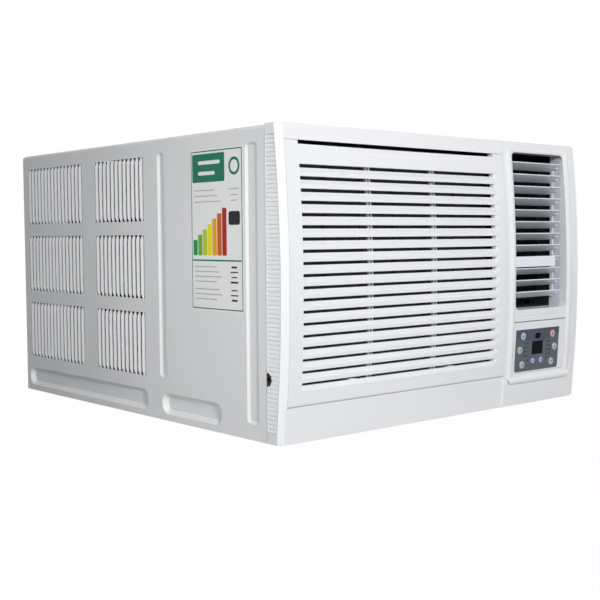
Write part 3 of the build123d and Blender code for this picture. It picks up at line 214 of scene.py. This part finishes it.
def ductLining():
    look = liningLook
    mat, tree, shader = startFinish("ductLining", look["plastic"], look["roughness"])
    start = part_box("outlet_duct")[0].y + look["start"]
    deep = spread(tree, axisOf(tree, "Y"), start, start + look["edge"], 0.0, 1.0)
    # from the set depth inward the colour turns black: painted shade of the deep duct
    colorOn(tree, shader, deep, look["plastic"], look["paintedShade"])
    tree.links.new(spread(tree, deep, 0.0, 1.0, *look["gloss"]), shader.inputs["Roughness"])
    pores = mathOf(tree, "MULTIPLY", noiseOf(tree, *look["pore"]), deep)
    bumpOn(tree, shader, pores, look["poreDepth"])
    return mat


netLook = {
    "thread": (0.13, 0.15, 0.24), "gap": (0.05, 0.06, 0.105), "roughness": 0.6,
    "pitch": 0.0016, "edge": (0.1, 0.6), "relief": 0.0002,
}


def filterNet():
    look = netLook
    mat, tree, shader = startFinish("filterNet", look["thread"], look["roughness"])
    across = waveAlong(tree, "X", look["pitch"])
    upward = waveAlong(tree, "Z", look["pitch"])
    weave = mathOf(tree, "MAXIMUM", across, upward)
    thread = spread(tree, weave, *look["edge"], 0.0, 1.0)
    colorOn(tree, shader, thread, look["gap"], look["thread"])
    bumpOn(tree, shader, weave, look["relief"])
    return mat


galvanisedLook = {
    "light": (0.60, 0.61, 0.62), "dark": (0.46, 0.47, 0.485), "roughness": 0.42, "metallic": 0.85,
    "spangle": 90.0, "gloss": (0.34, 0.52), "grain": (240.0, 3.0), "grainHeight": 0.00005,
}


def galvanised():
    look = galvanisedLook
    mat, tree, shader = startFinish(
        "galvanised", look["light"], look["roughness"], look["metallic"]
    )
    values = {"Vector": objectCoords(tree), "Scale": look["spangle"], "Randomness": 1.0}
    cells = addNode(tree, "ShaderNodeTexVoronoi", values).outputs["Color"]
    grey = addNode(tree, "ShaderNodeSeparateColor", {"Color": cells}).outputs["Red"]
    colorOn(tree, shader, grey, look["dark"], look["light"])
    tree.links.new(spread(tree, grey, 0.0, 1.0, *look["gloss"]), shader.inputs["Roughness"])
    bumpOn(tree, shader, noiseOf(tree, *look["grain"]), look["grainHeight"])
    return mat


finLook = {
    "metal": (0.70, 0.71, 0.72), "shadow": (0.30, 0.305, 0.315), "roughness": 0.38, "metallic": 0.9,
    "pitch": 0.0018, "edge": (-0.2, 0.7), "relief": 0.0003,
    "gloss": (0.3, 0.46), "glossScale": 60.0,
}


def coilFins():
    look = finLook
    mat, tree, shader = startFinish("coilFins", look["metal"], look["roughness"], look["metallic"])
    wave = waveAlong(tree, "X", look["pitch"])
    fin = spread(tree, wave, *look["edge"], 0.0, 1.0)
    colorOn(tree, shader, fin, look["shadow"], look["metal"])
    varyGloss(tree, shader, *look["gloss"], look["glossScale"])
    bumpOn(tree, shader, wave, look["relief"])
    return mat


# bare metals with drawn streaks

streaks = {
    "cloud": (260.0, 4.0, (1, 1, 6)), "glossScale": 180.0,
    "grain": (900.0, 2.0, (1, 1, 8)), "grainHeight": 0.00003,
}
screwLook = {
    "bright": (0.72, 0.72, 0.73), "dull": (0.52, 0.52, 0.54),
    "roughness": 0.3, "gloss": (0.22, 0.4),
}
copperLook = {
    "bright": (0.62, 0.29, 0.16), "dull": (0.36, 0.16, 0.095),
    "roughness": 0.32, "gloss": (0.24, 0.42),
}


def drawnMetal(name, look):
    mat, tree, shader = startFinish(name, look["bright"], look["roughness"], 1.0)
    mottle(tree, shader, look["bright"], look["dull"], *streaks["cloud"])
    varyGloss(tree, shader, *look["gloss"], streaks["glossScale"])
    bumpOn(tree, shader, noiseOf(tree, *streaks["grain"]), streaks["grainHeight"])
    return mat


# grey control film: a darker band along its top with a sagging lower edge

overlayLook = {
    "upper": (0.066, 0.073, 0.105), "lower": (0.09, 0.118, 0.135), "roughness": 0.33,
    "bandDrop": 0.0205, "bandSag": 3.2, "bandEdge": 0.0003,
    "fleck": (0.5, 0.53, 0.58), "fleckShare": 0.03,
    "fleckGrain": (2200.0, 1.0), "fleckBand": (0.3, 0.7),
    "gloss": (0.28, 0.38), "glossScale": 30.0, "grain": (1500.0, 1.0), "grainHeight": 0.00001,
}


def overlayFilm():
    look = overlayLook
    mat, tree, shader = startFinish("overlayFilm", look["lower"], look["roughness"])
    low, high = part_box("control_overlay")
    side = mathOf(tree, "SUBTRACT", axisOf(tree, "X"), (low.x + high.x) / 2)
    sag = mathOf(tree, "MULTIPLY", mathOf(tree, "POWER", side, 2.0), look["bandSag"])
    bandLow = mathOf(tree, "ADD", sag, high.z - look["bandDrop"])
    edge = mathOf(tree, "SUBTRACT", axisOf(tree, "Z"), bandLow)
    upper = spread(tree, edge, -look["bandEdge"], look["bandEdge"], 0.0, 1.0)
    toned = mixColors(tree, upper, look["lower"], look["upper"])
    specks = noiseOf(tree, *look["fleckGrain"])
    fleck = spread(tree, specks, *look["fleckBand"], 0.0, look["fleckShare"])
    colorOn(tree, shader, fleck, toned, look["fleck"])
    varyGloss(tree, shader, *look["gloss"], look["glossScale"])
    bumpOn(tree, shader, noiseOf(tree, *look["grain"]), look["grainHeight"])
    return mat


boardLook = {
    "mask": (0.02, 0.12, 0.05), "trace": (0.035, 0.2, 0.085), "roughness": 0.35,
    "pitch": 0.0042, "edge": (0.3, 0.42), "relief": 0.00004,
}


def boardMask():
    look = boardLook
    mat, tree, shader = startFinish("boardMask", look["mask"], look["roughness"])
    values = {"Vector": objectCoords(tree), "Scale": 1 / look["pitch"], "Randomness": 0.0}
    lines = addNode(tree, "ShaderNodeTexVoronoi", values, distance="MANHATTAN").outputs["Distance"]
    trace = spread(tree, lines, *look["edge"], 0.0, 1.0)
    colorOn(tree, shader, trace, look["mask"], look["trace"])
    bumpOn(tree, shader, trace, look["relief"])
    return mat


finishes = {
    "sheetPaint": speckled("sheetPaint", sheetPaintLook),
    "shellPlastic": speckled("shellPlastic", shellPlasticLook),
    "ribPlastic": speckled("ribPlastic", ribPlasticLook),
    "bladePlastic": speckled("bladePlastic", bladePlasticLook),
    "ductPlastic": speckled("ductPlastic", ductPlasticLook),
    "ductLining": ductLining(),
    "darkPlastic": speckled("darkPlastic", darkPlasticLook),
    "filterNet": filterNet(),
    "galvanised": galvanised(),
    "coilFins": coilFins(),
    "screwSteel": drawnMetal("screwSteel", screwLook),
    "copperTube": drawnMetal("copperTube", copperLook),
    "overlayFilm": overlayFilm(),
    "displayTint": speckled("displayTint", displayLook),
    "silverCap": speckled("silverCap", silverCapLook),
    "blueCap": speckled("blueCap", blueCapLook),
    "pinkCap": speckled("pinkCap", pinkCapLook),
    "boardMask": boardMask(),
    "motorPaint": speckled("motorPaint", motorPaintLook),
    "compressorPaint": speckled("compressorPaint", compressorPaintLook),
    "mountRubber": speckled("mountRubber", mountRubberLook),
}
print("finishes made:", len(finishes))

wear = {
    "sheetPaint": ["left_side_panel", "right_side_panel", "top_panel"],
    "galvanised": ["base_pan", "rear_guard", "bulkhead", "fan_shroud", "control_box"],
    "screwSteel": ["cabinet_screws", "fan_shaft"],
    "shellPlastic": ["front_frame", "intake_grille", "control_panel"],
    "ribPlastic": ["rib_strips"],
    "bladePlastic": [n for n in nodes if n.startswith("outlet_") and n != "outlet_duct"]
    + ["blade_link"],
    "ductLining": ["outlet_duct"],
    "ductPlastic": ["inlet_plate", "scroll_housing"],
    "darkPlastic": [n for n in nodes if n.startswith("air_vane")]
    + ["vane_link", "blower_wheel", "condenser_fan", "swing_motor"],
    "filterNet": ["air_filter"],
    "overlayFilm": ["control_overlay"],
    "displayTint": ["display_windows"],
    "silverCap": ["sleep_button", "timer_button", "swing_button", "fan_button"],
    "blueCap": ["power_button", "cooler_button", "warmer_button"],
    "pinkCap": ["mode_button"],
    "boardMask": ["control_board"],
    "coilFins": ["evaporator", "condenser", "run_capacitor"],
    "motorPaint": ["fan_motor"],
    "compressorPaint": ["compressor"],
    "mountRubber": ["compressor_grommets", "cord_grommet"],
    "copperTube": ["refrigerant_pipes"],
}
for finish, members in wear.items():
    for name in members:
        mesh = nodes[name].data
        mesh.materials.clear()
        mesh.materials.append(finishes[finish])
print("finishes on nodes:", sum(len(m) for m in wear.values()))


# thin plates that carry the prints

def roundPlate(form, width, height, thick, radius, segments, matrix, slot):
    plate = bmesh.new()
    bmesh.ops.create_grid(plate, x_segments=1, y_segments=1, size=0.5)
    bmesh.ops.scale(plate, verts=plate.verts, vec=(width, height, 1))
    if radius > 0:
        bmesh.ops.bevel(
            plate, geom=plate.verts[:], offset=radius, affect="VERTICES",
            segments=segments, profile=0.5, material=-1,
        )
    raised = bmesh.ops.extrude_face_region(plate, geom=plate.faces[:], use_keep_orig=True)["geom"]
    lifted = [g for g in raised if isinstance(g, bmesh.types.BMVert)]
    bmesh.ops.translate(plate, verts=lifted, vec=(0, 0, thick))
    bmesh.ops.transform(plate, matrix=matrix, verts=plate.verts)
    for face in plate.faces:
        face.material_index = slot
    shared = bpy.data.meshes.new("plate")
    plate.to_mesh(shared)
    plate.free()
    form.from_mesh(shared)
    bpy.data.meshes.remove(shared)


def finishMesh(form, name, body, materials):
    bmesh.ops.recalc_face_normals(form, faces=form.faces)
    mesh = bpy.data.meshes.new(name)
    form.to_mesh(mesh)
    form.free()
    for key in materials:
        mesh.materials.append(finishes[key])
    piece = bpy.data.objects.new(name, mesh)
    scene.collection.objects.link(piece)
    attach(piece, body)


inkGrain = {
    "cloud": (1400.0, 4.0), "roughness": 0.5, "gloss": (0.46, 0.52), "glossScale": 60.0,
    "grain": (1800.0, 2.0), "grainHeight": 0.00001, "specular": 0.2,
}
labelInks = {
    "labelPaper": {"color": (0.89, 0.89, 0.875), "shade": (0.875, 0.875, 0.86)},
    "labelGreen": {"color": (0.012, 0.17, 0.09), "shade": (0.016, 0.2, 0.11)},
    "labelDark": {"color": (0.012, 0.012, 0.014), "shade": (0.02, 0.02, 0.022)},
    "labelRule": {"color": (0.36, 0.37, 0.37), "shade": (0.42, 0.43, 0.43)},
    "columnOne": {"color": (0.02, 0.26, 0.07), "shade": (0.025, 0.3, 0.085)},
    "columnTwo": {"color": (0.14, 0.43, 0.035), "shade": (0.16, 0.47, 0.045)},
    "columnThree": {"color": (0.48, 0.60, 0.02), "shade": (0.52, 0.64, 0.03)},
    "columnFour": {"color": (0.86, 0.74, 0.01), "shade": (0.88, 0.77, 0.02)},
    "columnFive": {"color": (0.80, 0.36, 0.01), "shade": (0.83, 0.40, 0.02)},
    "columnSix": {"color": (0.62, 0.11, 0.015), "shade": (0.66, 0.13, 0.02)},
    "columnSeven": {"color": (0.42, 0.02, 0.012), "shade": (0.46, 0.026, 0.016)},
}
controlInks = {
    "printInk": {"color": (0.016, 0.018, 0.022), "shade": (0.024, 0.027, 0.032)},
    "lampLens": {"color": (0.008, 0.010, 0.009), "shade": (0.02, 0.03, 0.022)},
}
for ink, inkLook in {**labelInks, **controlInks}.items():
    finishes[ink] = speckled(ink, {**inkGrain, **inkLook})
print("inks mixed:", len(labelInks) + len(controlInks))


# printed label on the left side: plain blocks, columns and rules

sideLabel = {
    "wall": -0.330, "front": -0.2907, "rear": -0.1662, "low": 0.1745, "high": 0.4030,
    "thick": 0.00012, "ink": 0.00004, "segments": 5, "corner": 0.003,
    "borderIn": 0.0022, "border": 0.0016, "borderCorners": (0.7, 0.4),  # shares of the corner
    "header": (0.0440, 0.0265, 0.077, 0.040), "headerCorner": 0.002,
    "headerRules": ((0.046, 0.019, 0.052), (0.040, 0.034, 0.040)),
    "headerRule": (0.0052, 0.0024),  # height and corner
    "ring": (0.1045, 0.0265, 0.0125, 0.0085), "disc": 0.98,  # corner of a disc, by its radius
    "topRows": (0.058, 0.066, 0.074), "topRule": 0.0011, "rightMiddle": 0.103,
    "topMiddle": (0.034, 0.004), "topLong": (0.048, 0.008),  # start and step for each row
    "topShort": (0.022, -0.005),
    "columnsLow": 0.150, "columnWidth": 0.0102, "columnCorner": 0.0016,
    "columnMiddle": (0.0115, 0.0116), "columnTall": (0.022, 0.0074),  # start and step
    "marker": (0.104, 0.098, 0.026, 0.019), "markerCorner": 0.004,
    "divider": (0.157, 0.0022, 4),  # height, line and how many borderIn it is short
    "lowRows": (0.166, 0.173, 0.180, 0.187, 0.198, 0.205, 0.212), "lowRule": 0.0012,
    "lowMiddle": (0.036, 0.003), "lowLong": (0.052, 0.006),  # start and step, over three rows
    "lowShort": (0.013, 0.004),  # over two rows
    "lowMarks": (0.0026, 0.0017, 0.0017),  # heights of the dark marks, in turn
}


def stepped(pair, k):
    start, step = pair
    return start + step * k


def addSideLabel():
    look = sideLabel
    width, height = look["rear"] - look["front"], look["high"] - look["low"]
    inks = list(labelInks)
    form = bmesh.new()
    # label coordinates: from its upper left corner as seen from outside,
    # x along the side to the front, y down
    turned = Matrix(((0, 0, -1), (-1, 0, 0), (0, 1, 0))).to_4x4()

    def plate(x, y, w, h, ink, layer, radius=0.0):
        base = look["wall"] - look["thick"] - look["ink"] * (layer - 1) if layer else look["wall"]
        thick = look["ink"] if layer else look["thick"]
        spot = Matrix.Translation((base, look["rear"] - x, look["high"] - y)) @ turned
        roundPlate(form, w, h, thick, radius, look["segments"], spot, inks.index(ink))

    def sheet(inset, ink, layer, radius):
        plate(width / 2, height / 2, width - 2 * inset, height - 2 * inset, ink, layer, radius)

    inset = look["borderIn"]
    outerCorner, innerCorner = (look["corner"] * share for share in look["borderCorners"])
    sheet(0, "labelPaper", 0, look["corner"])
    sheet(inset, "labelGreen", 1, outerCorner)
    sheet(inset + look["border"], "labelPaper", 2, innerCorner)
    plate(*look["header"], "labelGreen", 3, look["headerCorner"])
    ruleHigh, ruleCorner = look["headerRule"]
    for x, y, w in look["headerRules"]:
        plate(x, y, w, ruleHigh, "labelPaper", 4, ruleCorner)
    x, y, outer, hole = look["ring"]
    plate(x, y, 2 * outer, 2 * outer, "labelGreen", 3, outer * look["disc"])
    plate(x, y, 2 * hole, 2 * hole, "labelPaper", 4, hole * look["disc"])
    for k, y in enumerate(look["topRows"]):
        x, long, short = (stepped(look[key], k) for key in ("topMiddle", "topLong", "topShort"))
        plate(x, y, long, look["topRule"], "labelRule", 3)
        plate(look["rightMiddle"], y, short, look["topRule"], "labelRule", 3)
    for k, ink in enumerate(i for i in inks if i.startswith("column")):
        tall = stepped(look["columnTall"], k)
        x, y = stepped(look["columnMiddle"], k), look["columnsLow"] - tall / 2
        plate(x, y, look["columnWidth"], tall, ink, 3, look["columnCorner"])
    plate(*look["marker"], "labelDark", 3, look["markerCorner"])
    y, line, margins = look["divider"]
    plate(width / 2, y, width - margins * inset, line, "labelGreen", 3)
    for k, y in enumerate(look["lowRows"]):
        x, long = stepped(look["lowMiddle"], k % 3), stepped(look["lowLong"], k % 3)
        plate(x, y, long, look["lowRule"], "labelRule", 3)
        short = stepped(look["lowShort"], k % 2)
        plate(look["rightMiddle"], y, short, look["lowMarks"][k % 3], "labelDark", 3)
    finishMesh(form, "side_label", "cabinet", inks)


addSideLabel()
print("side label stuck on")


# prints on the control film, and a mark on each button

controlPrint = {
    "tilt": 0.063608, "height": 0.069, "film": 0.00004, "segments": 6, "disc": 0.98,
    "lampRows": (0.0113, 0.0046, -0.0023, -0.0094), "lampColumns": (-0.0328, 0.0330),
    "lampRadius": 0.0016, "loneLamps": ((-0.0256, -0.0170), (0.0256, -0.0170)),
    "dashOffset": 0.0066, "dash": (0.0062, 0.0013), "dashCorner": 0.0004,
}


def panelAxes():
    inward = Vector((0, math.sqrt(1 - controlPrint["tilt"] ** 2), controlPrint["tilt"]))
    across = Vector((1, 0, 0))
    outward = -inward
    return across, outward.cross(across), outward


def panelMatrix(spot):
    across, upward, outward = panelAxes()
    return Matrix.Translation(spot) @ Matrix((across, upward, outward)).transposed().to_4x4()


def addFilmPrint():
    look = controlPrint
    low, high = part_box("control_overlay")
    across, upward = panelAxes()[:2]
    face = low.y + look["tilt"] * look["height"] / 2
    middle = Vector(((low.x + high.x) / 2, face, (low.z + high.z) / 2))
    form = bmesh.new()

    def stamp(u, v, w, h, radius, slot):
        spot = middle + across * u + upward * v
        roundPlate(form, w, h, look["film"], radius, look["segments"], panelMatrix(spot), slot)

    def lamp(u, v):
        wide = 2 * look["lampRadius"]
        stamp(u, v, wide, wide, look["lampRadius"] * look["disc"], 1)

    for side, column in zip((1, -1), look["lampColumns"]):
        for row in look["lampRows"]:
            lamp(column, row)
            stamp(column + side * look["dashOffset"], row, *look["dash"], look["dashCorner"], 0)
    for u, v in look["loneLamps"]:
        lamp(u, v)
    finishMesh(form, "film_print", "cabinet", ["printInk", "lampLens"])


buttonMark = {
    "film": 0.00004, "edge": 0.0024, "drop": 0.0059, "dash": (0.0050, 0.0011), "corner": 0.0004,
    "segments": 3, "plus": "warmer_button", "plusLift": 1.2,
}


def addButtonMarks():
    look = buttonMark
    lean = controlPrint["tilt"]
    wide, thin = look["dash"]
    corner, segments = look["corner"], look["segments"]
    for name in [n for n in nodes if n.endswith("_button")]:
        low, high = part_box(name)
        flat = (high.x - low.x) / 2 - look["edge"]
        level = (low.z + high.z) / 2 - look["drop"] * lean
        matrix = panelMatrix(Vector(((low.x + high.x) / 2, low.y + flat * lean, level)))
        form = bmesh.new()
        roundPlate(form, wide, thin, look["film"], corner, segments, matrix, 0)
        if name == look["plus"]:
            lifted = look["film"] * look["plusLift"]
            roundPlate(form, thin, wide, lifted, corner, segments, matrix, 0)
        finishMesh(form, name + "_mark", name, ["printInk"])


addFilmPrint()
addButtonMarks()
print("control prints added")


# camera at the photograph's viewing angle

cameraSpot = {
    "place": (-1.198, -1.4147, 0.280), "yaw": 40.74, "pitch": 3.53, "roll": -0.41,
    "lens": 62.53, "sensor": 36,
}


def setCamera():
    yaw, pitch, roll = (math.radians(cameraSpot[k]) for k in ("yaw", "pitch", "roll"))
    level = math.cos(pitch)
    ahead = Vector((math.sin(yaw) * level, math.cos(yaw) * level, -math.sin(pitch)))
    flat = Vector((math.cos(yaw), -math.sin(yaw), 0))
    upright = flat.cross(ahead)
    right = flat * math.cos(roll) + upright * math.sin(roll)
    up = right.cross(ahead)
    camera = bpy.data.objects.new("camera", bpy.data.cameras.new("camera"))
    camera.data.lens = cameraSpot["lens"]
    camera.data.sensor_width = cameraSpot["sensor"]
    turned = Matrix((right, up, -ahead)).transposed().to_4x4()
    camera.matrix_world = Matrix.Translation(cameraSpot["place"]) @ turned
    scene.collection.objects.link(camera)
    scene.camera = camera


setCamera()
print("camera set")


# studio: pale floor, soft lamps, white surroundings

lamps = {
    "farKey": {
        "place": (-2.1, -5.9, 2.3), "aim": (0, -0.3, 0.22),
        "size": 0.9, "power": 214, "spread": 180,
    },
    "frontFill": {
        "place": (-0.62, -1.6, 0.95), "aim": (-0.3, -0.36, 0.28),
        "size": 0.7, "power": 5.6, "spread": 180,
    },
    "nearLeft": {
        "place": (-1.0, -0.36, 0.32), "aim": (-0.33, -0.27, 0.23),
        "size": 0.5, "power": 0.58, "spread": 100,
    },
    "overhead": {
        "place": (-0.6, -0.3, 2.4), "aim": (-0.3, -0.1, 0.2),
        "size": 1.0, "power": 2.5, "spread": 180,
    },
    "rearFill": {
        "place": (2.2, 1.8, 1.9), "aim": (0, 0.2, 0.2),
        "size": 1.8, "power": 40, "spread": 180,
    },
}


def addLamps():
    for name, look in lamps.items():
        data = bpy.data.lights.new(name, "AREA")
        data.shape = "DISK"
        data.size = look["size"]
        data.energy = look["power"]
        data.spread = math.radians(look["spread"])
        lamp = bpy.data.objects.new(name, data)
        aim = Vector(look["aim"]) - Vector(look["place"])
        turned = aim.to_track_quat("-Z", "Y").to_matrix().to_4x4()
        lamp.matrix_world = Matrix.Translation(look["place"]) @ turned
        scene.collection.objects.link(lamp)


skyLook = {"light": 0.16, "tint": (0.82, 0.91, 1.0), "shown": 1.0}


def addSky():  # white where it is seen or mirrored, and a dim blue light otherwise
    world = bpy.data.worlds.new("studioSky")
    world.use_nodes = True
    tree = world.node_tree
    back = tree.nodes["Background"]
    rays = addNode(tree, "ShaderNodeLightPath").outputs
    seen = mathOf(tree, "MAXIMUM", rays["Is Camera Ray"], rays["Is Transmission Ray"])
    seen = mathOf(tree, "MAXIMUM", seen, rays["Is Glossy Ray"])
    strength = spread(tree, seen, 0.0, 1.0, skyLook["light"], skyLook["shown"])
    tree.links.new(mixColors(tree, seen, skyLook["tint"], (1, 1, 1)), back.inputs["Color"])
    tree.links.new(strength, back.inputs["Strength"])
    scene.world = world


floorLook = {
    "size": 14.0, "drop": 0.0004, "color": (0.42, 0.42, 0.42), "shade": (0.41, 0.41, 0.41),
    "cloud": 0.6, "roughness": 0.9, "glow": 0.98, "fade": (0.75, 1.5),
}


def addFloor():  # glows white to the camera, a little less near the object, to keep its shadow
    look = floorLook
    form = bmesh.new()
    bmesh.ops.create_grid(form, x_segments=2, y_segments=2, size=look["size"])
    bmesh.ops.translate(form, verts=form.verts, vec=(0, 0, -look["drop"]))
    mesh = bpy.data.meshes.new("studioFloor")
    form.to_mesh(mesh)
    form.free()
    floor = bpy.data.objects.new("studioFloor", mesh)
    scene.collection.objects.link(floor)
    mat, tree, shader = startFinish("studioFloor", look["color"], look["roughness"])
    mottle(tree, shader, look["color"], look["shade"], look["cloud"])
    rays = addNode(tree, "ShaderNodeLightPath").outputs
    coords = addNode(tree, "ShaderNodeTexCoord").outputs["Object"]
    away = addNode(tree, "ShaderNodeVectorMath", {0: coords}, operation="LENGTH").outputs["Value"]
    glow = spread(tree, away, *look["fade"], look["glow"], 1.0)
    glow = mathOf(tree, "MULTIPLY", rays["Is Camera Ray"], glow)
    white = addNode(tree, "ShaderNodeEmission", {"Color": (1, 1, 1, 1), "Strength": 1.0})
    surfaces = {0: glow, 1: shader.outputs["BSDF"], 2: white.outputs[0]}
    blend = addNode(tree, "ShaderNodeMixShader", surfaces)
    tree.links.new(blend.outputs[0], tree.nodes["Material Output"].inputs["Surface"])
    mesh.materials.append(mat)


addLamps()
addSky()
addFloor()
scene.view_settings.view_transform = "Standard"
print("studio lit")
